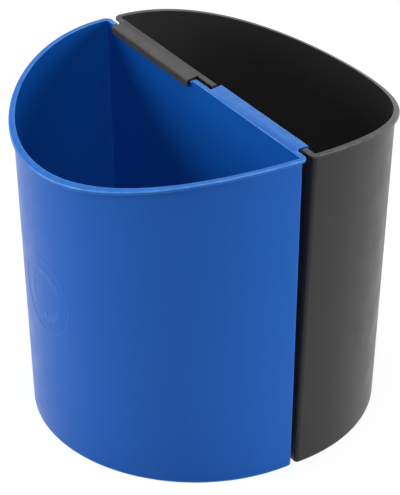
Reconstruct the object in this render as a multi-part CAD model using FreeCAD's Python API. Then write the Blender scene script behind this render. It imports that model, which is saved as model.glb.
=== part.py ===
import FreeCAD, Part

# Two identical half-round bins that hook together back to back along their flat walls.
# Frame: millimetres, +Z up, origin on the floor midway between the two flat walls.
# X runs along the flat walls. The black bin fills +Y, the blue bin fills -Y.
# One moulding is built in the black bin's place; the blue bin is the same moulding turned half way round.

import math
import os

# Whole bin
BIN_WIDTH = 394.0            # across the rim, along the flat wall
RIM_HEIGHT = 382.0           # floor to the top of the rim at the flat wall
MATING_GAP = 5.2             # between the two rims' flat edges

# Wall
WALL = 2.4
FOOT_WIDTH = 367.0           # across the wall at the floor
FOOT_SETBACK = 2.4           # from the mid plane to the flat wall's foot
CORNER_RADIUS = 4.5          # the wall's upright corners, outside
STRAIGHT_SIDE = 0.3          # straight stretch between corner and round back, at the rim

# Rim
RIM_OVERHANG = 3.6           # flange beyond the wall's outer face
RIM_THICKNESS = 3.0
ARCH_RADIUS = 484.0          # seen along the flat wall, the rim falls away from it along this arc
RIM_EDGE_RADIUS = 1.3        # the flange's outer edge, on top

# Floor
FLOOR_THICKNESS = 2.8
FOOT_RING_HEIGHT = 2.0       # the floor stands clear of the ground inside this ring
FOOT_RING_WIDTH = 7.0
FOOT_BEVEL = 2.0             # outside edge round the foot
FLOOR_BEVEL = 1.5            # inside edge round the floor

# Hook: a plate level with the rim that crosses onto the other bin's rim and ends in a lip inside it
HOOK_PLATE = 2.4
HOOK_ROOT_START = 18.0       # near end of the plate at its own rim, from the bin's middle
HOOK_LIP_START = 14.0        # near end of the plate at the lip
HOOK_END = 174.0             # far end of the plate
HOOK_END_FILLET = 4.0        # hollow corner where the far end meets its own rim
HOOK_CORNER = 2.0            # far corner of the lip, seen from above
LIP_CLEARANCE = 2.2          # between the lip and the other bin's flat wall
LIP_THICKNESS = 2.0
LIP_DROP = 8.4               # from the top of the plate to the lip's lower edge
HOOK_OUTER_RADIUS = 3.4
HOOK_INNER_RADIUS = 1.2

# Seat: the stretch of rim that is stepped down to take the other bin's hook
SEAT_CLEARANCE = 0.6         # under the other bin's plate
SEAT_MARGIN = 3.0            # beyond each end of the other bin's plate

# Worked out from the sizes above
RIM_RADIUS = BIN_WIDTH / 2
RIM_FACE = MATING_GAP / 2
FLAT_FACE = RIM_FACE + RIM_OVERHANG
INNER_FACE = FLAT_FACE + WALL
AXIS_Y = FLAT_FACE + CORNER_RADIUS + STRAIGHT_SIDE
WALL_RADIUS = RIM_RADIUS - RIM_OVERHANG
FOOT_WALL_RADIUS = FOOT_WIDTH / 2
FLOOR_TOP = FOOT_RING_HEIGHT + FLOOR_THICKNESS
LIP_INNER = INNER_FACE + LIP_CLEARANCE
LIP_OUTER = LIP_INNER + LIP_THICKNESS
SEAT_DEPTH = HOOK_PLATE + SEAT_CLEARANCE
SEAT_START = HOOK_LIP_START - SEAT_MARGIN
SEAT_END = HOOK_END + SEAT_MARGIN

# Helpers
OVERSHOOT = 5.0              # how far a cutting shape runs past what it cuts
BURIED = 1.5                 # how far a joined shape reaches into its neighbour
ON_EDGE = 0.2                # how near a point must be to count as lying on an outline


def vec(x, y, z=0.0):
    return FreeCAD.Vector(x, y, z)


def arc(centre, radius, start_deg, end_deg, across, up):
    """Arc about centre in the plane of two unit directions, from one angle to the other."""
    points = []
    for angle in (start_deg, (start_deg + end_deg) / 2, end_deg):
        turn = math.radians(angle)
        points.append(centre + across * (radius * math.cos(turn)) + up * (radius * math.sin(turn)))
    return Part.Arc(*points).toShape()


def level_arc(x, y, z, radius, start_deg, end_deg):
    return arc(vec(x, y, z), radius, start_deg, end_deg, vec(1, 0), vec(0, 1))


def side_arc(y, z, radius, start_deg, end_deg):
    return arc(vec(0, y, z), radius, start_deg, end_deg, vec(0, 1), vec(0, 0, 1))


def side_line(start, end):
    """Straight run in the plane across the flat wall, between two (y, z) points."""
    return Part.makeLine(vec(0, *start), vec(0, *end))


def along_wall(profile, start, end):
    """Solid made by drawing a closed (y, z) profile along X from start to end."""
    solid = Part.Face(Part.Wire(profile)).extrude(vec(end - start, 0))
    solid.translate(vec(start, 0))
    return solid


def box(low, high):
    size = high - low
    return Part.makeBox(size.x, size.y, size.z, low)


# The half-round block: a flat side, two rounded corners, short straight sides and a half circle about AXIS_Y

def plane_face(*corners):
    return Part.Face(Part.makePolygon(list(corners) + [corners[0]]))


def slab(bottom, top):
    """Block between the flat side and AXIS_Y. Each end is a (radius, flat, z)."""
    rings = []
    for radius, flat, z in (bottom, top):
        front = [vec(-radius, flat, z), vec(radius, flat, z)]
        back = [vec(radius, AXIS_Y, z), vec(-radius, AXIS_Y, z)]
        rings.append(front + back)
    low, high = rings
    faces = [plane_face(*low), plane_face(*high)]
    for i in range(4):
        j = (i + 1) % 4
        faces.append(plane_face(low[i], low[j], high[j], high[i]))
    return Part.Solid(Part.Shell(faces))


def half_cone(bottom, top):
    """Round back between two (radius, flat, z) levels."""
    low_radius, _, low_z = bottom
    high_radius, _, high_z = top
    height = high_z - low_z
    reach = max(low_radius, high_radius)
    base = vec(0, AXIS_Y, low_z)
    half = box(vec(-reach, AXIS_Y, low_z), vec(reach, AXIS_Y + reach, high_z))
    if abs(low_radius - high_radius) < ON_EDGE:
        return Part.makeCylinder(low_radius, height, base).common(half)
    return Part.makeCone(low_radius, high_radius, height, base).common(half)


def d_block(bottom, top, corner):
    """Half-round solid between two (radius, flat, z) levels, its upright corners rounded."""
    block = slab(bottom, top).fuse(half_cone(bottom, top)).removeSplitter()
    flat_edge = max(bottom[1], top[1]) + ON_EDGE
    height = top[2] - bottom[2]
    uprights = [edge for edge in block.Edges if edge.BoundBox.YMax < flat_edge and edge.Length >= height]
    return block.makeFillet(corner, [edge for edge in uprights if edge.BoundBox.ZLength > height / 2])


def wall_level(z, inset):
    """The wall's (radius, flat, z) at a height, moved inward by inset. It grows evenly from foot to rim."""
    share = z / RIM_HEIGHT
    radius = FOOT_WALL_RADIUS + (WALL_RADIUS - FOOT_WALL_RADIUS) * share
    flat = FOOT_SETBACK + (FLAT_FACE - FOOT_SETBACK) * share
    return radius - inset, flat + inset, z


def wall_block(bottom, top, inset):
    """Solid inside the wall's outline between two heights."""
    return d_block(wall_level(bottom, inset), wall_level(top, inset), CORNER_RADIUS - inset)


def on_outline(point, radius, flat, corner):
    """Whether a point lies on the half-round outline with this radius, flat and corner."""
    if point.y >= AXIS_Y:
        return abs(math.hypot(point.x, point.y - AXIS_Y) - radius) < ON_EDGE
    past_x = abs(point.x) - (radius - corner)
    past_y = flat + corner - point.y
    if past_x > 0 and past_y > 0:
        return abs(math.hypot(past_x, past_y) - corner) < ON_EDGE
    return min(abs(point.y - flat), abs(abs(point.x) - radius)) < ON_EDGE


# The rim's arch

def crown_height(y, drop):
    """Height of the rim's top, lowered by drop: level as far as AXIS_Y, then along the arch."""
    beyond = max(y - AXIS_Y, 0.0)
    return RIM_HEIGHT - ARCH_RADIUS + math.sqrt((ARCH_RADIUS - drop) ** 2 - beyond ** 2)


def under_crown(drop):
    """Solid that fills everything below the rim's top, lowered by drop."""
    front = -OVERSHOOT
    back = AXIS_Y + RIM_RADIUS + OVERSHOOT
    low = -OVERSHOOT
    top = RIM_HEIGHT - drop
    radius = ARCH_RADIUS - drop
    end_angle = math.degrees(math.acos((back - AXIS_Y) / radius))
    profile = [
        side_line((front, low), (front, top)),
        side_line((front, top), (AXIS_Y, top)),
        side_arc(AXIS_Y, RIM_HEIGHT - ARCH_RADIUS, radius, 90, end_angle),
        side_line((back, crown_height(back, drop)), (back, low)),
        side_line((back, low), (front, low)),
    ]
    return along_wall(profile, -RIM_RADIUS - OVERSHOOT, RIM_RADIUS + OVERSHOOT)


def rim_edges(shape):
    """Edges that run round the rim's top, on its outside."""
    found = []
    for edge in shape.Edges:
        point = edge.valueAt((edge.FirstParameter + edge.LastParameter) / 2)
        on_top = abs(point.z - crown_height(point.y, 0)) < ON_EDGE
        if on_top and on_outline(point, RIM_RADIUS, RIM_FACE, CORNER_RADIUS + RIM_OVERHANG):
            found.append(edge)
    return found


# The moulding

def flange():
    """Band round the rim that follows the arch, its outer edge rounded; its inside is still filled."""
    bottom = (RIM_RADIUS, RIM_FACE, RIM_HEIGHT / 2)
    top = (RIM_RADIUS, RIM_FACE, RIM_HEIGHT + OVERSHOOT)
    band = d_block(bottom, top, CORNER_RADIUS + RIM_OVERHANG)
    band = band.common(under_crown(0)).cut(under_crown(RIM_THICKNESS))
    return band.makeFillet(RIM_EDGE_RADIUS, rim_edges(band))


def outer_shell():
    """The bin's outside as a filled block."""
    wall = wall_block(0, RIM_HEIGHT, 0)
    foot = [edge for edge in wall.Edges if edge.BoundBox.ZMax < ON_EDGE]
    wall = wall.makeChamfer(FOOT_BEVEL, foot)
    return wall.common(under_crown(RIM_THICKNESS / 2)).fuse(flange())


def inner_space():
    """The space inside the bin, bevelled where the wall meets the floor."""
    space = wall_block(FLOOR_TOP, RIM_HEIGHT + OVERSHOOT, WALL)
    edges = [edge for edge in space.Edges if edge.BoundBox.ZMax < FLOOR_TOP + ON_EDGE]
    return space.makeChamfer(FLOOR_BEVEL, edges)


def foot_recess():
    """The shallow space under the floor, inside the foot ring."""
    radius, flat, _ = wall_level(0, FOOT_RING_WIDTH)
    low = (radius, flat, -OVERSHOOT)
    high = (radius, flat, FOOT_RING_HEIGHT)
    return slab(low, high).fuse(half_cone(low, high)).removeSplitter()


def open_tub():
    """The bin without its hook and seat."""
    return outer_shell().cut([inner_space(), foot_recess()])


def seat_space():
    """What the other bin's hook needs out of the rim."""
    low = vec(SEAT_START, -OVERSHOOT, RIM_HEIGHT - SEAT_DEPTH)
    high = vec(SEAT_END, AXIS_Y, RIM_HEIGHT + OVERSHOOT)
    return box(low, high)


def seat_ledge():
    """Flange under the seat, the same width and thickness as the rest of the rim."""
    top = RIM_HEIGHT - SEAT_DEPTH
    low = vec(SEAT_START - BURIED, RIM_FACE, top - RIM_THICKNESS)
    high = vec(SEAT_END + BURIED, FLAT_FACE + BURIED, top)
    return box(low, high)


def hook_section():
    """The hook's section drawn along its whole length: plate, rounded turn and lip."""
    top = RIM_HEIGHT
    under = top - HOOK_PLATE
    lip_end = top - LIP_DROP
    root = RIM_FACE + BURIED
    turn = HOOK_OUTER_RADIUS
    tuck = HOOK_INNER_RADIUS
    profile = [
        side_line((root, top), (turn - LIP_OUTER, top)),
        side_arc(turn - LIP_OUTER, top - turn, turn, 90, 180),
        side_line((-LIP_OUTER, top - turn), (-LIP_OUTER, lip_end)),
        side_line((-LIP_OUTER, lip_end), (-LIP_INNER, lip_end)),
        side_line((-LIP_INNER, lip_end), (-LIP_INNER, under - tuck)),
        side_arc(tuck - LIP_INNER, under - tuck, tuck, 180, 90),
        side_line((tuck - LIP_INNER, under), (root, under)),
        side_line((root, under), (root, top)),
    ]
    return along_wall(profile, -HOOK_END - HOOK_END_FILLET, -HOOK_LIP_START)


def hook_outline():
    """The hook seen from above: slanted near end, rounded far corner, hollow corner at the far root."""
    near_root = vec(-HOOK_ROOT_START, RIM_FACE)
    near_lip = vec(-HOOK_LIP_START, -LIP_OUTER)
    far_root = -HOOK_END - HOOK_END_FILLET
    fillet_y = RIM_FACE - HOOK_END_FILLET
    corner_x = HOOK_CORNER - HOOK_END
    corner_y = HOOK_CORNER - LIP_OUTER
    inside = RIM_FACE + BURIED
    edges = [
        Part.makeLine(near_root, near_lip),
        Part.makeLine(near_lip, vec(corner_x, -LIP_OUTER)),
        level_arc(corner_x, corner_y, 0, HOOK_CORNER, 270, 180),
        Part.makeLine(vec(-HOOK_END, corner_y), vec(-HOOK_END, fillet_y)),
        level_arc(far_root, fillet_y, 0, HOOK_END_FILLET, 0, 90),
        Part.makeLine(vec(far_root, RIM_FACE), vec(far_root, inside)),
        Part.makeLine(vec(far_root, inside), vec(-HOOK_ROOT_START, inside)),
        Part.makeLine(vec(-HOOK_ROOT_START, inside), near_root),
    ]
    return Part.Face(Part.Wire(edges)).extrude(vec(0, 0, RIM_HEIGHT + OVERSHOOT))


def moulding():
    """One whole bin, in the black bin's place."""
    tub = open_tub().cut(seat_space())
    hook = hook_section().common(hook_outline())
    return tub.fuse([seat_ledge(), hook]).removeSplitter()


def turned_half_way(shape):
    """The same shape in the other bin's place."""
    other = shape.copy()
    other.rotate(vec(0, 0), vec(0, 0, 1), 180)
    return other


def main():
    os.makedirs("parts", exist_ok=True)
    black_bin = moulding()
    nodes = {"black_bin": black_bin, "blue_bin": turned_half_way(black_bin)}
    for name, shape in nodes.items():
        shape.Solids[0].exportStep(f"parts/{name}.step")


main()
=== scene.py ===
"""Looks of the double recycling bin: two half-round plastic bins, hooked together back to back.

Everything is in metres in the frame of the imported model: +Z up, the floor at z = 0, X along the flat
walls, the black bin on the +Y side and the blue bin on the -Y side. Both bins come from one mould, so
the moulding is modelled once in the black bin's place and turned half way round for the blue one.
"""

from __future__ import annotations

import logging
import math
from collections.abc import Callable, Iterator
from contextlib import contextmanager
from dataclasses import dataclass, field
from enum import Enum

import bmesh
import bpy
from mathutils import Matrix, Vector

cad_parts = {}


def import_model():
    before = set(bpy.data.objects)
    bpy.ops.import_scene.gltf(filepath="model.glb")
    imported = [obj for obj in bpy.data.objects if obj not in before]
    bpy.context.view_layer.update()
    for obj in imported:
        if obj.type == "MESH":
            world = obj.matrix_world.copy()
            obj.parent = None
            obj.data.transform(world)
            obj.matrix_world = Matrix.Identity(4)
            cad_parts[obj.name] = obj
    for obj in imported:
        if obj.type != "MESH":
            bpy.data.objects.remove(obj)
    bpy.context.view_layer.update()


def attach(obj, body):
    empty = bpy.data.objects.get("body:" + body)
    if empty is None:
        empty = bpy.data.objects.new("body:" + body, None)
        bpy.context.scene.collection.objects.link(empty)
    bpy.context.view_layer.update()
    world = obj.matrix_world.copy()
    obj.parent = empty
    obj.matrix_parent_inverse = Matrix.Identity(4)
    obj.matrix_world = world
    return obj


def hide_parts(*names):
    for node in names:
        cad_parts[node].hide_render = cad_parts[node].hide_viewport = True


LOG = logging.getLogger("double_bin")
MM = 0.001
TINY = 0.02 * MM
WELD = 0.001 * MM
SMOOTH_ANGLE = 35.0

# The painted highlight and the smoother gloss of rounded edges: an edge longer than TALL_EDGE upright
# is a wall's own, a bend counts from
# EDGE_BEND_FROM degrees and fully after EDGE_BEND_SPAN more, and a face over BROAD_FACE takes less of
# it.
EDGE_MARK = "edge_highlight_and_polish"
TALL_EDGE = 12 * MM
EDGE_BEND_FROM = 8.0
EDGE_BEND_SPAN = 12.0
BROAD_FACE = 60 * MM**2
BROAD_FACE_SHARE = 0.4


class Step(Enum):
    """Ways in which a face is led round a quarter circle."""

    ROUND_OVER = "round over"
    ROUND_IN = "round in"
    HOLLOW = "hollow"


class Layer(Enum):
    """Kinds of geometry that can be picked in edit mode."""

    VERTICES = "verts"
    EDGES = "edges"
    FACES = "faces"

    @property
    def select_mode(self) -> str:
        """The edit mode's own name for this kind."""
        return self.value[:-1].upper()


# Handwork: the few moves that every piece is made with


@contextmanager
def edit_mode(piece: bpy.types.Object) -> Iterator[None]:
    """Opens a piece for editing and leaves it closed again.

    Args:
        piece: The mesh object to edit.
    """
    bpy.ops.object.select_all(action="DESELECT")
    bpy.context.view_layer.objects.active = piece
    piece.select_set(True)
    bpy.ops.object.mode_set(mode="EDIT")
    bpy.ops.mesh.select_mode(type="FACE")
    yield
    bpy.ops.object.mode_set(mode="OBJECT")


def middle(element: bmesh.types.BMVert | bmesh.types.BMEdge | bmesh.types.BMFace) -> Vector:
    """Gives the place of a vertex, or the middle of an edge or face.

    Args:
        element: Part of a mesh in edit mode.

    Returns:
        A point in metres.
    """
    if isinstance(element, bmesh.types.BMVert):
        return element.co.copy()
    if isinstance(element, bmesh.types.BMFace):
        return element.calc_center_bounds()
    return (element.verts[0].co + element.verts[1].co) / 2


def pick(layer: Layer, wanted: Callable[[Vector], bool], among_selected: bool = False) -> None:
    """Selects the vertices, edges or faces whose middle passes a test, and nothing else.

    Args:
        layer: Which kind of geometry is picked.
        wanted: The test, given a point in metres.
        among_selected: Whether only what is selected already may stay selected.
    """
    mesh = bpy.context.edit_object.data
    shape = bmesh.from_edit_mesh(mesh)
    everything = getattr(shape, layer.value)
    chosen = [part for part in everything
              if (part.select or not among_selected) and wanted(middle(part))]
    bpy.ops.mesh.select_mode(type=layer.select_mode)
    shape = bmesh.from_edit_mesh(mesh)
    for group in (shape.verts, shape.edges, shape.faces):
        for element in group:
            element.select = False
    for element in chosen:
        element.select_set(True)
    shape.select_flush_mode()
    bmesh.update_edit_mesh(mesh)


def pick_cap(height: float) -> None:
    """Selects the one large face that closes the mesh at a height.

    Args:
        height: The face's z in metres.
    """
    shape = bmesh.from_edit_mesh(bpy.context.edit_object.data)
    level = [f for f in shape.faces if abs(f.calc_center_median().z - height) < TINY]
    largest = max(level, key=lambda f: len(f.verts)).index
    shape.faces.ensure_lookup_table()
    bpy.ops.mesh.select_all(action="DESELECT")
    shape.faces[largest].select_set(True)
    bmesh.update_edit_mesh(bpy.context.edit_object.data)


def place_selected(move: Callable[[Vector], Vector]) -> None:
    """Moves each selected vertex to a place worked out from where it is.

    Args:
        move: Gives the new point for an old one.
    """
    mesh = bpy.context.edit_object.data
    for vertex in bmesh.from_edit_mesh(mesh).verts:
        if vertex.select:
            vertex.co = move(vertex.co.copy())
    bmesh.update_edit_mesh(mesh)


def draw_out(distance: float) -> None:
    """Extrudes the selected face straight up or down by a distance in metres."""
    bpy.ops.mesh.extrude_region_move(TRANSFORM_OT_translate={"value": (0, 0, distance)})


def quarter_turn(radius: float, segments: int, step: Step, upward: bool) -> None:
    """Leads the selected level face round a quarter circle by insetting it again and again.

    Args:
        radius: The circle's radius.
        segments: How many insets make the quarter.
        step: Whether the edge is rounded over on the way out, rounded in on the way down, or hollow.
        upward: Whether the face ends higher than it starts.
    """
    done_in = done_up = 0.0
    for i in range(1, segments + 1):
        angle = math.radians(90) * i / segments
        flat_first = step is not Step.ROUND_OVER
        inward = math.sin(angle) if flat_first else 1 - math.cos(angle)
        along = 1 - math.cos(angle) if flat_first else math.sin(angle)
        inset_by = radius * inward - done_in
        rise = (radius * along - done_up) * (1 if upward else -1)
        bpy.ops.mesh.inset(thickness=inset_by, depth=0)
        bpy.ops.transform.translate(value=(0, 0, rise))
        done_in, done_up = radius * inward, radius * along


def smooth(piece: bpy.types.Object) -> None:
    """Shades a piece smooth but for its sharp edges, its large faces kept flat.

    Args:
        piece: The mesh object, modelled.
    """
    bpy.ops.object.shade_smooth_by_angle(angle=math.radians(SMOOTH_ANGLE))
    bpy.ops.object.modifier_add(type="WEIGHTED_NORMAL")
    piece.modifiers[-1].keep_sharp = True
    bpy.ops.object.modifier_apply(modifier=piece.modifiers[-1].name)


def mark_edges(piece: bpy.types.Object, strength: float = 1.0) -> None:
    """Notes on each vertex how much of a rounded outer edge it is, for the plastic's painted edge
    highlight and its glossier edges.

    Args:
        piece: The mesh object, modelled.
        strength: The value at a full edge.
    """
    shape = bmesh.new()
    shape.from_mesh(piece.data)
    highlight_and_polish = []
    for vertex in shape.verts:
        tall = any(abs(e.verts[0].co.z - e.verts[1].co.z) > TALL_EDGE for e in vertex.link_edges)
        bends = [e.calc_face_angle(0.0) for e in vertex.link_edges if e.is_manifold and e.is_convex]
        sharpest = math.degrees(max(bends, default=0.0))
        share = min(max((sharpest - EDGE_BEND_FROM) / EDGE_BEND_SPAN, 0.0), 1.0)
        if any(face.calc_area() > BROAD_FACE for face in vertex.link_faces):
            share *= BROAD_FACE_SHARE
        highlight_and_polish.append(0.0 if tall else strength * share)
    shape.free()
    # the value paints a paler highlight on edges and lowers their roughness
    attribute = piece.data.attributes.new(EDGE_MARK, "FLOAT", "POINT")
    attribute.data.foreach_set("value", highlight_and_polish)


@dataclass
class Moulding:
    """One half-round bin: a drafted tub with an arched, flanged rim, a hook and a seat. Metres."""

    rim_radius: float = 197 * MM
    rim_height: float = 382 * MM
    rim_face: float = 2.6 * MM
    overhang: float = 3.6 * MM
    flange: float = 3.0 * MM
    wall: float = 2.4 * MM
    wall_radius: float = 193.4 * MM
    foot_radius: float = 183.5 * MM
    flat_foot: float = 2.4 * MM
    corner: float = 4.5 * MM
    axis: float = 11.0 * MM
    arch: float = 484 * MM
    rim_round: float = 1.3 * MM
    lip_round: float = 0.8 * MM
    root_hollow: float = 2.4 * MM
    foot_round: float = 2.6 * MM
    floor_hollow: float = 1.8 * MM
    rim_merge: float = 0.2 * MM
    floor_top: float = 4.8 * MM
    ring_width: float = 7.0 * MM
    ring_height: float = 2.0 * MM
    ring_margin: float = 0.1 * MM
    ring_merge: float = 0.5 * MM
    hook_plate: float = 2.4 * MM
    hook_near: float = -18 * MM
    hook_far: float = -174 * MM
    hook_lean: float = 4.0 * MM
    hook_fillet: float = 4.0 * MM
    hook_turn: float = 3.4 * MM
    hook_reach: float = 12.8 * MM
    turn_squareness: float = 5.0
    lip_thickness: float = 2.0 * MM
    lip_drop: float = 8.4 * MM
    hook_soften: float = 0.45 * MM
    hook_root: float = 0.3 * MM
    hook_sharp: float = 50.0
    seat_start: float = 11 * MM
    seat_end: float = 177 * MM
    seat_depth: float = 3.0 * MM
    seat_slope: float = 0.8 * MM
    back_segments: int = 160
    corner_segments: int = 8
    edge_segments: int = 4
    floor_segments: int = 3
    fillet_segments: int = 5
    turn_segments: int = 10
    soften_segments: int = 2
    rim_zone: float = 9 * MM
    flat_zone: float = 3 * MM
    flange_free: float = 1.5 * MM
    flange_blend: float = 2.1 * MM
    stations: list[float] = field(default_factory=list)

    @property
    def flat_face(self) -> float:
        """Where the flat wall's outer face is at the rim."""
        return self.rim_face + self.overhang

    def wall_radius_at(self, height: float) -> float:
        """Radius of the round wall's outer face at a height."""
        share = height / self.rim_height
        return self.foot_radius + (self.wall_radius - self.foot_radius) * share

    def flat_face_at(self, height: float) -> float:
        """Distance of the flat wall's outer face from the mid plane at a height."""
        share = height / self.rim_height
        return self.flat_foot + (self.flat_face - self.flat_foot) * share

    def crown(self, y: float, drop: float) -> float:
        """Height of a line that runs under the rim's top, along the arch.

        Args:
            y: Distance from the mid plane.
            drop: How far the line is below the rim's top.

        Returns:
            The height in metres.
        """
        beyond = max(y - self.axis, 0.0)
        return self.rim_height - self.arch + math.sqrt((self.arch - drop) ** 2 - beyond**2)

    def fillet_stations(self) -> list[float]:
        """Where the hollow corner at the hook's far root is cut, along X."""
        start = self.hook_far - self.hook_fillet
        turns = [math.radians(90) * i / self.fillet_segments for i in range(self.fillet_segments + 1)]
        return [start + self.hook_fillet * math.sin(turn) for turn in turns]

    def outline(self) -> bpy.types.Object:
        """Draws the rim's outline as one flat face at the flange's underside.

        Returns:
            The new object, its face pointing up or down.
        """
        level = self.rim_height - self.flange
        bpy.ops.object.select_all(action="DESELECT")
        bpy.ops.mesh.primitive_circle_add(
            vertices=2 * self.back_segments, radius=self.rim_radius, fill_type="NGON",
            location=(0, self.axis, level))
        bin_piece = bpy.context.active_object
        bpy.ops.object.transform_apply(location=True)
        self.stations = sorted(self.fillet_stations() + [self.hook_near] + self.seat_stations())
        with edit_mode(bin_piece):
            bpy.ops.mesh.select_all(action="SELECT")
            bpy.ops.mesh.bisect(
                plane_co=(0, self.axis, level), plane_no=(0, 1, 0), clear_inner=True, threshold=TINY)
            bpy.ops.mesh.select_all(action="SELECT")
            bpy.ops.mesh.remove_doubles(threshold=TINY)
            pick(Layer.EDGES, lambda p: p.y < self.axis + TINY)
            bpy.ops.mesh.extrude_region_move(
                TRANSFORM_OT_translate={"value": (0, self.rim_face - self.axis, 0)})
            pick(Layer.VERTICES, lambda p: p.y < self.rim_face + TINY)
            bpy.ops.mesh.bevel(
                offset=self.corner + self.overhang, segments=self.corner_segments, affect="VERTICES")
            pick(Layer.EDGES, lambda p: abs(p.y - self.axis) < TINY and abs(p.x) < TINY)
            bpy.ops.mesh.dissolve_edges(use_verts=False)
            pick(Layer.VERTICES, lambda p: abs(p.y - self.axis) < TINY)
            bpy.ops.mesh.dissolve_verts()
            pick(Layer.EDGES, lambda p: p.y < self.rim_face + TINY and abs(p.x) < TINY)
            bpy.ops.mesh.subdivide(number_cuts=len(self.stations))
            self.space_stations()
        return bin_piece

    def seat_stations(self) -> list[float]:
        """Where the seat's two sloped steps begin and end, along X."""
        half = self.seat_slope / 2
        return [end + side * half for end in (self.seat_start, self.seat_end) for side in (-1, 1)]

    def space_stations(self) -> None:
        """Slides the flat side's new vertices to the hook's and the seat's ends."""
        mesh = bpy.context.edit_object.data
        corner_start = self.rim_radius - self.corner - self.overhang
        flat = [v for v in bmesh.from_edit_mesh(mesh).verts
                if v.co.y < self.rim_face + TINY and abs(v.co.x) < corner_start - TINY]
        for vertex, x in zip(sorted(flat, key=lambda v: v.co.x), self.stations, strict=True):
            vertex.co.x = x
        bmesh.update_edit_mesh(mesh)

    def raise_rim(self) -> None:
        """Builds the flange, the rim's rounded top and the inside down to the floor, straight-sided."""
        level = self.rim_height - self.flange
        bpy.ops.mesh.select_all(action="SELECT")
        draw_out(self.flange - self.hook_plate)
        draw_out(self.hook_plate - self.rim_round)
        quarter_turn(self.rim_round, self.edge_segments, Step.ROUND_OVER, upward=True)
        top_width = self.overhang + self.wall - self.rim_round - self.lip_round
        bpy.ops.mesh.inset(thickness=top_width, depth=0)
        quarter_turn(self.lip_round, self.edge_segments, Step.ROUND_IN, upward=False)
        draw_out(self.floor_top + self.floor_hollow + self.lip_round - self.rim_height)
        quarter_turn(self.floor_hollow, self.floor_segments, Step.ROUND_OVER, upward=False)
        bpy.ops.mesh.remove_doubles(threshold=self.rim_merge)
        LOG.info("rim stands on the outline at %.1f mm", level / MM)

    def lower_wall(self) -> None:
        """Builds the flange's underside, the outer wall and the foot, straight-sided."""
        pick_cap(self.rim_height - self.flange)
        bpy.ops.mesh.inset(thickness=self.overhang - self.root_hollow, depth=0)
        quarter_turn(self.root_hollow, self.edge_segments, Step.HOLLOW, upward=False)
        draw_out(self.foot_round + self.flange + self.root_hollow - self.rim_height)
        quarter_turn(self.foot_round, self.edge_segments, Step.ROUND_OVER, upward=False)
        bpy.ops.mesh.inset(thickness=self.corner - self.foot_round - self.ring_margin, depth=0)
        bpy.ops.mesh.remove_doubles(threshold=self.ring_merge)
        bpy.ops.mesh.inset(thickness=self.ring_width - self.corner + self.ring_margin, depth=0)
        draw_out(self.ring_height)

    def step_seat(self) -> None:
        """Steps the rim down over the stretch that takes the other bin's hook."""
        half = self.seat_slope / 2

        def in_seat(point: Vector) -> bool:
            """Whether a point of the rim is between the seat's two steps."""
            along = self.seat_start + half - TINY < point.x < self.seat_end - half + TINY
            return along and point.y < self.axis and point.z > self.rim_height - self.rim_zone

        pick(Layer.VERTICES, in_seat)
        bpy.ops.transform.translate(value=(0, 0, -self.seat_depth))

    def grow_hook(self) -> None:
        """Draws the hook out of the rim's upper edge: plate, rounded turn and lip."""
        under = self.rim_height - self.hook_plate
        fillet_start = self.hook_far - self.hook_fillet
        fillet_y = self.rim_face - self.hook_fillet

        def on_root(point: Vector) -> bool:
            """Whether a face's middle lies on the rim's edge where the hook grows out."""
            along = fillet_start < point.x < self.hook_near
            return along and point.y < self.rim_face + self.rim_round and point.z > under

        def to_fillet(point: Vector) -> Vector:
            """Takes a root vertex out to the plate's hollow corner, seen from above."""
            past = min(point.x - fillet_start, self.hook_fillet)
            if past < TINY:
                return point
            point.y = fillet_y + math.sqrt(max(self.hook_fillet**2 - past**2, 0.0))
            return point

        pick(Layer.FACES, on_root)
        bpy.ops.mesh.extrude_region_move()
        place_selected(to_fillet)
        pick(Layer.FACES, lambda p: p.x > self.hook_far, among_selected=True)
        turn_y = self.hook_turn - self.hook_reach
        bpy.ops.mesh.extrude_region_move(TRANSFORM_OT_translate={"value": (0, turn_y - fillet_y, 0)})
        centre = (0, turn_y, self.rim_height - self.hook_turn)
        bpy.ops.mesh.spin(
            steps=self.turn_segments, angle=math.radians(-90), center=centre, axis=(1, 0, 0))
        place_selected(self.thin_lip)
        draw_out(self.hook_turn - self.lip_drop)
        pick(Layer.VERTICES, lambda p: p.y < turn_y - TINY and p.z > centre[2] + TINY)
        place_selected(self.tighten_turn)

    def tighten_turn(self, point: Vector) -> Vector:
        """Pushes a point of the hook's turn out towards the corner, so that the bend is crisper.

        Args:
            point: Where the vertex is on the round turn.

        Returns:
            Its place on a squarer curve about the same centre.
        """
        centre = Vector((point.x, self.hook_turn - self.hook_reach, self.rim_height - self.hook_turn))
        out = point - centre
        level, upright = (abs(part) / out.length for part in (out.y, out.z))
        power = self.turn_squareness
        return centre + out / (level**power + upright**power) ** (1 / power)

    def thin_lip(self, point: Vector) -> Vector:
        """Brings the turned plate's inner side out to the lip's own thickness."""
        outer = -self.hook_reach
        point.y = outer + (point.y - outer) * self.lip_thickness / self.hook_plate
        return point

    def lean_near_end(self) -> None:
        """Slants the hook's near end: it starts nearer the bin's middle at the lip than at the root."""
        run = self.hook_reach + self.rim_face
        pick(Layer.VERTICES, lambda p: abs(p.x - self.hook_near) < TINY and p.y < self.rim_face - TINY)

        def lean(point: Vector) -> Vector:
            """Moves an end vertex along X by its share of the slant."""
            point.x += self.hook_lean * (self.rim_face - point.y) / run
            return point

        place_selected(lean)

    def soften_hook(self) -> None:
        """Rounds the hook's sharp outer edges."""
        bpy.ops.mesh.select_mode(type="EDGE")
        bpy.ops.mesh.select_all(action="DESELECT")
        shape = bmesh.from_edit_mesh(bpy.context.edit_object.data)
        sharp = math.radians(self.hook_sharp)
        for edge in shape.edges:
            outside = max(v.co.y for v in edge.verts) < self.rim_face - self.hook_root
            if outside and edge.is_manifold and edge.is_convex and edge.calc_face_angle(0.0) > sharp:
                edge.select_set(middle(edge).z > self.rim_height / 2)
        bmesh.update_edit_mesh(bpy.context.edit_object.data)
        bpy.ops.mesh.bevel(offset=self.hook_soften, segments=self.soften_segments, affect="EDGES",
                           clamp_overlap=True)

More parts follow.
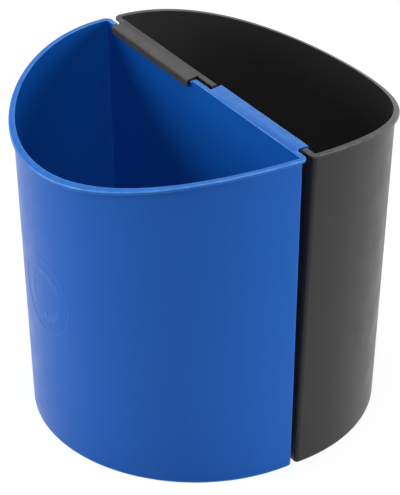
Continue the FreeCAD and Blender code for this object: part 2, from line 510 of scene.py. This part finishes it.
    def settle(self, point: Vector) -> Vector:
        """Takes a point of the straight-sided tub to its place on the drafted, arched moulding.

        Args:
            point: Where the vertex is.

        Returns:
            Where it belongs.
        """
        drop = self.rim_height - point.z
        if point.y > self.axis + TINY:
            return self.settle_back(point, drop)
        if drop <= self.rim_zone:
            return point
        corner_start = self.wall_radius - 2 * self.corner
        if point.y > self.flat_face - self.flat_zone and abs(point.x) > corner_start:
            point.x += math.copysign(1, point.x) * (self.wall_radius_at(point.z) - self.wall_radius)
        if point.y < self.axis - TINY:
            point.y += self.flat_face_at(point.z) - self.flat_face
        return point

    def settle_back(self, point: Vector, drop: float) -> Vector:
        """Takes a point of the round back to the drafted wall, and near the rim also to the arch.

        Args:
            point: Where the vertex is.
            drop: How far it is below the rim's top.

        Returns:
            Where it belongs.
        """
        reach = math.hypot(point.x, point.y - self.axis)
        near_rim = drop < self.rim_zone
        height = self.crown(point.y, drop) if near_rim else point.z
        inward = self.rim_radius - self.flange_free - reach
        follows = min(max(inward / self.flange_blend, 0.0), 1.0)
        shift = (self.wall_radius_at(height) - self.wall_radius) * (follows if near_rim else 1.0)
        grow = (reach + shift) / reach
        y = self.axis + (point.y - self.axis) * grow
        return Vector((point.x * grow, y, self.crown(y, drop) if near_rim else point.z))

    def build(self, name: str) -> bpy.types.Object:
        """Models the whole moulding in the black bin's place.

        Args:
            name: The new piece's name.

        Returns:
            The finished mesh object, at the origin.
        """
        piece = self.outline()
        piece.name = piece.data.name = name
        with edit_mode(piece):
            self.raise_rim()
            self.lower_wall()
            bpy.ops.mesh.select_all(action="SELECT")
            place_selected(self.settle)
            self.step_seat()
            self.grow_hook()
            bpy.ops.mesh.select_all(action="SELECT")
            bpy.ops.mesh.remove_doubles(threshold=WELD)
            self.lean_near_end()
            self.soften_hook()
            bpy.ops.mesh.select_all(action="SELECT")
            bpy.ops.mesh.remove_doubles(threshold=WELD)
            bpy.ops.mesh.normals_make_consistent(inside=False)
        smooth(piece)
        mark_edges(piece)
        return piece


def turned_copy(piece: bpy.types.Object, name: str) -> bpy.types.Object:
    """Copies a piece with its own mesh, turned half way round the pair's middle.

    Args:
        piece: The piece in the black bin's place.
        name: The copy's name.

    Returns:
        The copy, at the origin and unturned.
    """
    bpy.ops.object.select_all(action="DESELECT")
    bpy.context.view_layer.objects.active = piece
    piece.select_set(True)
    bpy.ops.object.duplicate(linked=False)
    copy = bpy.context.active_object
    copy.name = copy.data.name = name
    copy.rotation_euler = (0, 0, math.pi)
    bpy.ops.object.transform_apply(rotation=True)
    return copy


@dataclass
class RaisedMark:
    """A faint raised ring with three arrows that chase each other, on the round wall. Metres."""

    moulding: Moulding
    height: float = 186 * MM
    ring_radius: float = 46 * MM
    ring_width: float = 1.8 * MM
    arrow_radius: float = 32 * MM
    arrow_width: float = 8 * MM
    arrow_start: float = 105.0
    neck: float = 45.0
    head_sweep: float = 26.0
    head_spread: float = 2.3
    head_steps: int = 6
    tip_spread: float = 0.04
    same_bearing: float = 0.1
    segments: int = 120
    relief: float = 0.2 * MM
    buried: float = 0.6 * MM
    soften: float = 0.12 * MM
    # share of the painted edge highlight and of the smoother gloss on the mark's edges
    highlight_and_polish: float = 0.14

    def band(self, radius: float, width: float) -> bpy.types.Object:
        """Lays a flat ring out.

        Args:
            radius: Its outer radius.
            width: How wide the band is.

        Returns:
            The ring, lying in the plane z = 0 about the origin.
        """
        bpy.ops.object.select_all(action="DESELECT")
        bpy.ops.mesh.primitive_circle_add(vertices=self.segments, radius=radius, fill_type="NGON")
        band = bpy.context.active_object
        with edit_mode(band):
            bpy.ops.mesh.select_all(action="SELECT")
            bpy.ops.mesh.inset(thickness=width, depth=0)
            bpy.ops.mesh.delete(type="FACE")
        return band

    def arrow(self) -> bpy.types.Object:
        """Lays one curved arrow out: a piece of a band, its end drawn on into a head.

        Returns:
            The arrow, lying in the plane z = 0 about the origin.
        """
        arrow = self.band(self.arrow_radius, self.arrow_width)
        with edit_mode(arrow):
            pick(Layer.FACES, lambda p: not self.neck < bearing(p) < self.arrow_start)
            bpy.ops.mesh.delete(type="FACE")
            lowest = min(bearing(v.co) for v in bmesh.from_edit_mesh(arrow.data).verts)
            pick(Layer.EDGES, lambda p: abs(bearing(p) - lowest) < self.same_bearing)
            centre = self.arrow_radius - self.arrow_width / 2
            for step in range(self.head_steps + 1):
                before = 1.0 if step == 0 else self.head_spread * (1 - (step - 1) / self.head_steps)
                after = max(self.head_spread * (1 - step / self.head_steps), self.tip_spread)
                turn = 0.0 if step == 0 else math.radians(-self.head_sweep / self.head_steps)
                self.draw_head(turn, after / before, centre)
        return arrow

    def draw_head(self, turn: float, grow: float, centre: float) -> None:
        """Extrudes the arrow's end edge and carries it round, wider or narrower.

        Args:
            turn: How far round, in radians.
            grow: How much wider the edge becomes.
            centre: Radius of the arrow's middle line.
        """
        def carry(point: Vector) -> Vector:
            """Turns a point about the origin and moves it from or to the middle line."""
            reach = centre + (point.length - centre) * grow
            return Matrix.Rotation(turn, 3, "Z") @ (point.normalized() * reach)

        bpy.ops.mesh.extrude_region_move()
        place_selected(carry)

    def wrap(self, point: Vector) -> Vector:
        """Lays a point of the flat drawing on the round wall, as seen from outside.

        Args:
            point: Across, up and out of the drawing.

        Returns:
            The place on the black bin's wall.
        """
        height = self.height + point.y
        radius = self.moulding.wall_radius_at(height)
        turn = math.radians(90) + point.x / radius
        reach = radius + point.z
        return Vector((reach * math.cos(turn), self.moulding.axis + reach * math.sin(turn), height))

    def build(self, name: str) -> bpy.types.Object:
        """Models the whole mark in the black bin's place.

        Args:
            name: The new piece's name.

        Returns:
            The finished mesh object, at the origin.
        """
        mark = self.band(self.ring_radius, self.ring_width)
        arrows = [self.arrow()]
        for third in (1, 2):
            bpy.ops.object.select_all(action="DESELECT")
            arrows[0].select_set(True)
            bpy.context.view_layer.objects.active = arrows[0]
            bpy.ops.object.duplicate(linked=False)
            arrows.append(bpy.context.active_object)
            arrows[-1].rotation_euler = (0, 0, math.radians(120 * third))
            bpy.ops.object.transform_apply(rotation=True)
        for arrow in arrows:
            arrow.select_set(True)
        mark.select_set(True)
        bpy.context.view_layer.objects.active = mark
        bpy.ops.object.join()
        mark.name = mark.data.name = name
        with edit_mode(mark):
            bpy.ops.mesh.select_all(action="SELECT")
            draw_out(self.relief + self.buried)
            bpy.ops.mesh.select_all(action="SELECT")
            bpy.ops.transform.translate(value=(0, 0, -self.buried))
            pick(Layer.EDGES, lambda p: p.z > self.relief - TINY)
            bpy.ops.mesh.region_to_loop()
            bpy.ops.mesh.bevel(offset=self.soften, segments=2, affect="EDGES")
            bpy.ops.mesh.select_all(action="SELECT")
            place_selected(self.wrap)
            bpy.ops.mesh.normals_make_consistent(inside=False)
        smooth(mark)
        mark_edges(mark, self.highlight_and_polish)
        return mark


def bearing(point: Vector) -> float:
    """Direction of a point from the origin in the drawing's plane, in degrees."""
    return math.degrees(math.atan2(point.y, point.x))


class NodeBench:
    """Lays out a material's nodes and joins them."""

    def __init__(self, material: bpy.types.Material) -> None:
        """Opens a material's node tree.

        Args:
            material: The material, its nodes switched on here.
        """
        material.use_nodes = True
        self.tree = material.node_tree
        self.shader = self.tree.nodes["Principled BSDF"]
        self.place = self.tree.nodes.new("ShaderNodeTexCoord").outputs["Object"]

    def add(self, kind: str, **settings: object) -> bpy.types.Node:
        """Adds a node and sets its own options.

        Args:
            kind: The node's type name.
            settings: Options by their names.

        Returns:
            The new node.
        """
        node = self.tree.nodes.new(kind)
        for name, value in settings.items():
            setattr(node, name, value)
        return node

    def join(self, output: bpy.types.NodeSocket, node: bpy.types.Node, name: str | int) -> None:
        """Links an output to a node's input."""
        self.tree.links.new(output, node.inputs[name])

    def noise(self, scale: float, detail: float = 2.0,
              stretch: tuple[float, float, float] = (1, 1, 1)) -> bpy.types.NodeSocket:
        """Adds a noise pattern that sits still on the piece.

        Args:
            scale: How many features fit in a metre.
            detail: How many finer layers it has.
            stretch: How much finer the pattern is along each axis.

        Returns:
            The noise's value output.
        """
        mapping = self.add("ShaderNodeMapping")
        mapping.inputs["Scale"].default_value = stretch
        self.join(self.place, mapping, "Vector")
        pattern = self.add("ShaderNodeTexNoise")
        pattern.inputs["Scale"].default_value = scale
        pattern.inputs["Detail"].default_value = detail
        self.join(mapping.outputs["Vector"], pattern, "Vector")
        return pattern.outputs["Fac"]

    def spread(self, value: bpy.types.NodeSocket, source: tuple[float, float],
               target: tuple[float, float]) -> bpy.types.NodeSocket:
        """Stretches a value from one range to another, clamped.

        Args:
            value: The socket that gives the value.
            source: The range it is read in.
            target: The range that comes out.

        Returns:
            The stretched value.
        """
        node = self.add("ShaderNodeMapRange", clamp=True)
        ends = ("From Min", "From Max", "To Min", "To Max")
        for name, number in zip(ends, source + target, strict=True):
            node.inputs[name].default_value = number
        self.join(value, node, "Value")
        return node.outputs["Result"]

    def reckon(self, operation: str, first: bpy.types.NodeSocket,
               second: bpy.types.NodeSocket) -> bpy.types.NodeSocket:
        """Works one value out from two.

        Args:
            operation: The Math node's operation.
            first: The first value.
            second: The second value.

        Returns:
            The result.
        """
        node = self.add("ShaderNodeMath", operation=operation)
        self.join(first, node, 0)
        self.join(second, node, 1)
        return node.outputs["Value"]

    def blend(self, share: bpy.types.NodeSocket, start: bpy.types.NodeSocket | tuple[float, ...],
              end: tuple[float, ...]) -> bpy.types.NodeSocket:
        """Mixes two colours.

        Args:
            share: How much of the second colour there is.
            start: The first colour, or the socket that gives it.
            end: The second colour.

        Returns:
            The mixed colour.
        """
        node = self.add("ShaderNodeMix", data_type="RGBA")
        colours = [i for i in node.inputs if i.type == "RGBA"]
        if isinstance(start, tuple):
            colours[0].default_value = (*start, 1)
        else:
            self.tree.links.new(start, colours[0])
        colours[1].default_value = (*end, 1)
        self.join(share, node, "Factor")
        return next(o for o in node.outputs if o.type == "RGBA")

    def bump(self, height: bpy.types.NodeSocket, strength: float, depth: float,
             under: bpy.types.NodeSocket | None = None) -> bpy.types.NodeSocket:
        """Adds relief.

        Args:
            height: The pattern that is raised.
            strength: Share of the full relief.
            depth: Its full height in metres.
            under: Relief that this one lies on.

        Returns:
            The normal.
        """
        node = self.add("ShaderNodeBump")
        node.inputs["Strength"].default_value = strength
        node.inputs["Distance"].default_value = depth
        self.join(height, node, "Height")
        if under is not None:
            self.join(under, node, "Normal")
        return node.outputs["Normal"]


@dataclass(frozen=True)
class MouldedPlastic:
    """Satin injection-moulded plastic: fine eroded texture, faint flow marks, glossier edges with a
    painted highlight.
    """

    name: str
    colour: tuple[float, float, float]
    flow_colour: tuple[float, float, float]
    highlight_and_rub_colour: tuple[float, float, float]
    ior: float = 1.49
    roughness: float = 0.34
    gloss: float = 0.16
    edge_roughness: float = 0.1
    cloud: float = 38.0
    flow: float = 14.0
    edge_highlight_patches: float = 90.0
    rubs: float = 260.0
    grain: float = 1500.0
    grain_depth: float = 0.03 * MM
    grain_strength: float = 0.5
    ripple: float = 26.0
    ripple_depth: float = 0.4 * MM
    ripple_strength: float = 0.12

    def make(self) -> bpy.types.Material:
        """Builds the material's nodes.

        Returns:
            The new material.
        """
        material = bpy.data.materials.new(self.name)
        bench = NodeBench(material)
        shader = bench.shader
        shader.inputs["IOR"].default_value = self.ior
        shader.inputs["Specular IOR Level"].default_value = self.gloss
        edge = bench.add("ShaderNodeAttribute", attribute_name=EDGE_MARK).outputs["Fac"]
        bench.join(self.paint(bench, edge), shader, "Base Color")
        bench.join(self.satin(bench, edge), shader, "Roughness")
        waves = bench.noise(self.ripple, 1.0, (1, 1, 0.4))
        ripple = bench.bump(waves, self.ripple_strength, self.ripple_depth)
        grain = bench.bump(bench.noise(self.grain), self.grain_strength, self.grain_depth, ripple)
        bench.join(grain, shader, "Normal")
        return material

    def paint(self, bench: NodeBench, edge: bpy.types.NodeSocket) -> bpy.types.NodeSocket:
        """Colours the plastic: faint upright flow marks, a patchy painted highlight on rounded edges
        and a few paler rub marks.

        Args:
            bench: The material's bench.
            edge: How much of an edge a point is.

        Returns:
            The colour.
        """
        flow = bench.spread(bench.noise(self.flow, 3.0, (1, 1, 0.25)), (0.35, 0.7), (0.0, 1.0))
        body = bench.blend(flow, self.colour, self.flow_colour)
        # painted highlight: rounded edges are mixed, unevenly, towards the paler colour
        patchy_highlight = bench.spread(bench.noise(self.edge_highlight_patches, 4.0), (0.35, 0.65), (0.45, 0.9))
        body = bench.blend(bench.reckon("MULTIPLY", edge, patchy_highlight), body, self.highlight_and_rub_colour)
        # rub marks: random pale streaks in the same paler colour
        rubs = bench.spread(bench.noise(self.rubs, 5.0, (1, 1, 0.12)), (0.66, 0.8), (0.0, 0.1))
        return bench.blend(rubs, body, self.highlight_and_rub_colour)

    def satin(self, bench: NodeBench, edge: bpy.types.NodeSocket) -> bpy.types.NodeSocket:
        """Varies the gloss: cloudy over the walls, smoother along the edges.

        Args:
            bench: The material's bench.
            edge: How much of an edge a point is.

        Returns:
            The roughness.
        """
        low, high = self.roughness - 0.04, self.roughness + 0.05
        cloudy = bench.spread(bench.noise(self.cloud, 4.0), (0.3, 0.7), (low, high))
        smoother = bench.spread(edge, (0.0, 1.0), (0.0, self.edge_roughness))
        return bench.reckon("SUBTRACT", cloudy, smoother)


def seen_directly(tree: bpy.types.NodeTree) -> bpy.types.NodeSocket:
    """Tells rays that show the background, by eye or in a gloss, from those that carry its light.

    Args:
        tree: The node tree that needs to know.

    Returns:
        One for a camera, glossy or transmission ray, else nought.
    """
    path = tree.nodes.new("ShaderNodeLightPath")
    total = path.outputs["Is Camera Ray"]
    for name in ("Is Glossy Ray", "Is Transmission Ray"):
        either = tree.nodes.new("ShaderNodeMath")
        either.operation = "MAXIMUM"
        tree.links.new(total, either.inputs[0])
        tree.links.new(path.outputs[name], either.inputs[1])
        total = either.outputs["Value"]
    return total


@dataclass(frozen=True)
class SoftLamp:
    """A square soft lamp that faces the pair: degrees round it, metres away, metres across, watts."""

    name: str
    azimuth: float
    elevation: float
    power: float
    size: float = 1.4
    distance: float = 2.5


@dataclass
class Studio:
    """Plain pale floor, soft lamps and the camera at the photograph's viewing angle. Metres."""

    camera_place: tuple[float, float, float] = (1.6139, -1.0177, 1.3200)
    view_azimuth: float = 57.766
    view_elevation: float = 30.855
    view_roll: float = 0.198
    focal_length: float = 146.84
    sensor_width: float = 36.0
    shift_x: float = -0.0079
    air_strength: float = 0.02
    white_strength: float = 1.0
    floor_radius: float = 6.0
    floor_segments: int = 96
    floor_roughness: float = 0.9
    floor_colour: float = 0.85
    floor_white: float = 0.72
    floor_glow: float = 1.18
    aim_height: float = 0.19

    def camera(self) -> None:
        """Places the camera."""
        azimuth, elevation, roll = (
            math.radians(a) for a in (self.view_azimuth, self.view_elevation, self.view_roll))
        back = Vector((math.sin(azimuth) * math.cos(elevation),
                       -math.cos(azimuth) * math.cos(elevation), math.sin(elevation)))
        level = Vector((math.cos(azimuth), math.sin(azimuth), 0))
        upright = back.cross(level)
        right = level * math.cos(roll) + upright * math.sin(roll)
        up = upright * math.cos(roll) - level * math.sin(roll)
        bpy.ops.object.camera_add()
        eye = bpy.context.active_object
        eye.name = "camera"
        turn = Matrix((right, up, back)).transposed().to_4x4()
        eye.matrix_world = Matrix.Translation(self.camera_place) @ turn
        eye.data.lens = self.focal_length
        eye.data.sensor_width = self.sensor_width
        eye.data.shift_x = self.shift_x
        bpy.context.scene.camera = eye

    def floor(self) -> None:
        """Lays the floor, which shows as white but keeps its shadows."""
        bpy.ops.mesh.primitive_circle_add(
            vertices=self.floor_segments, radius=self.floor_radius, fill_type="NGON")
        floor = bpy.context.active_object
        floor.name = "floor"
        material = bpy.data.materials.new("pale_floor")
        bench = NodeBench(material)
        bench.shader.inputs["Base Color"].default_value = (*[self.floor_colour] * 3, 1)
        bench.shader.inputs["Roughness"].default_value = self.floor_roughness
        bench.shader.inputs["Specular IOR Level"].default_value = 0.0
        glow = bench.add("ShaderNodeEmission")
        glow.inputs["Strength"].default_value = self.floor_glow
        share = bench.spread(seen_directly(bench.tree), (0.0, 1.0), (0.0, self.floor_white))
        mix = bench.add("ShaderNodeMixShader")
        bench.join(share, mix, 0)
        bench.join(bench.shader.outputs["BSDF"], mix, 1)
        bench.join(glow.outputs["Emission"], mix, 2)
        bench.join(mix.outputs["Shader"], bench.tree.nodes["Material Output"], "Surface")
        floor.data.materials.append(material)

    def air(self) -> None:
        """Sets the even light that comes from all round, and the white that the background shows."""
        world = bpy.data.worlds.new("studio_air")
        world.use_nodes = True
        tree = world.node_tree
        even = tree.nodes["Background"]
        even.inputs["Color"].default_value = (1, 1, 1, 1)
        even.inputs["Strength"].default_value = self.air_strength
        white = tree.nodes.new("ShaderNodeBackground")
        white.inputs["Color"].default_value = (1, 1, 1, 1)
        white.inputs["Strength"].default_value = self.white_strength
        mix = tree.nodes.new("ShaderNodeMixShader")
        tree.links.new(seen_directly(tree), mix.inputs[0])
        tree.links.new(even.outputs["Background"], mix.inputs[1])
        tree.links.new(white.outputs["Background"], mix.inputs[2])
        tree.links.new(mix.outputs["Shader"], tree.nodes["World Output"].inputs["Surface"])
        bpy.context.scene.world = world

    def hang(self, lamp: SoftLamp) -> None:
        """Hangs one soft lamp, facing the object's middle.

        Args:
            lamp: Where the lamp is and how strong.
        """
        azimuth, elevation = math.radians(lamp.azimuth), math.radians(lamp.elevation)
        away = Vector((math.cos(azimuth) * math.cos(elevation),
                       math.sin(azimuth) * math.cos(elevation), math.sin(elevation)))
        middle_of_pair = Vector((0, 0, self.aim_height))
        bpy.ops.object.light_add(type="AREA", location=middle_of_pair + away * lamp.distance)
        light = bpy.context.active_object
        light.name = lamp.name
        light.data.size = lamp.size
        light.data.energy = lamp.power
        light.rotation_euler = (-away).to_track_quat("-Z", "Y").to_euler()


@dataclass
class Bin:
    """One bin of the pair: its pieces, dressed and tied to the body that moves them."""

    body: str
    plastic: MouldedPlastic

    def dress(self, moulding: bpy.types.Object, mark: bpy.types.Object) -> None:
        """Gives the bin's pieces their plastic and their place in the frame.

        Args:
            moulding: The finished tub.
            mark: The raised mark on its wall.
        """
        material = self.plastic.make()
        for piece in (moulding, mark):
            piece.data.materials.clear()
            piece.data.materials.append(material)
            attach(piece, self.body)
            LOG.info("%s: %d faces on body %s", piece.name, len(piece.data.polygons), self.body)
        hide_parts(f"{self.body}_bin")


BLACK = MouldedPlastic(
    "black_satin",
    colour=(0.034, 0.0325, 0.0335),
    flow_colour=(0.036, 0.0345, 0.0355),
    # paler colour of the painted edge highlight and of the rub marks
    highlight_and_rub_colour=(0.13, 0.125, 0.125),
)
BLUE = MouldedPlastic(
    "blue_satin",
    colour=(0.005, 0.103, 0.45),
    flow_colour=(0.005, 0.107, 0.465),
    # paler colour of the painted edge highlight and of the rub marks
    highlight_and_rub_colour=(0.11, 0.34, 0.78),
)
LAMPS = (
    SoftLamp("left_lamp", azimuth=-118, elevation=14, power=42),
    SoftLamp("right_lamp", azimuth=44, elevation=10, power=42),
    SoftLamp("front_lamp", azimuth=-32, elevation=50, power=15),
    SoftLamp("top_lamp", azimuth=150, elevation=88, power=41),
)


def main() -> None:
    """Builds the studio and both bins, and reports each piece."""
    logging.basicConfig(level=logging.INFO, format="%(name)s: %(message)s")
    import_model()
    studio = Studio()
    studio.camera()
    studio.floor()
    studio.air()
    for lamp in LAMPS:
        studio.hang(lamp)
    bpy.context.scene.view_settings.view_transform = "Standard"
    shape = Moulding()
    black_moulding = shape.build("black_moulding")
    black_mark = RaisedMark(shape).build("black_mark")
    blue_moulding = turned_copy(black_moulding, "blue_moulding")
    blue_mark = turned_copy(black_mark, "blue_mark")
    Bin("black", BLACK).dress(black_moulding, black_mark)
    Bin("blue", BLUE).dress(blue_moulding, blue_mark)


if __name__ == "__main__":
    main()
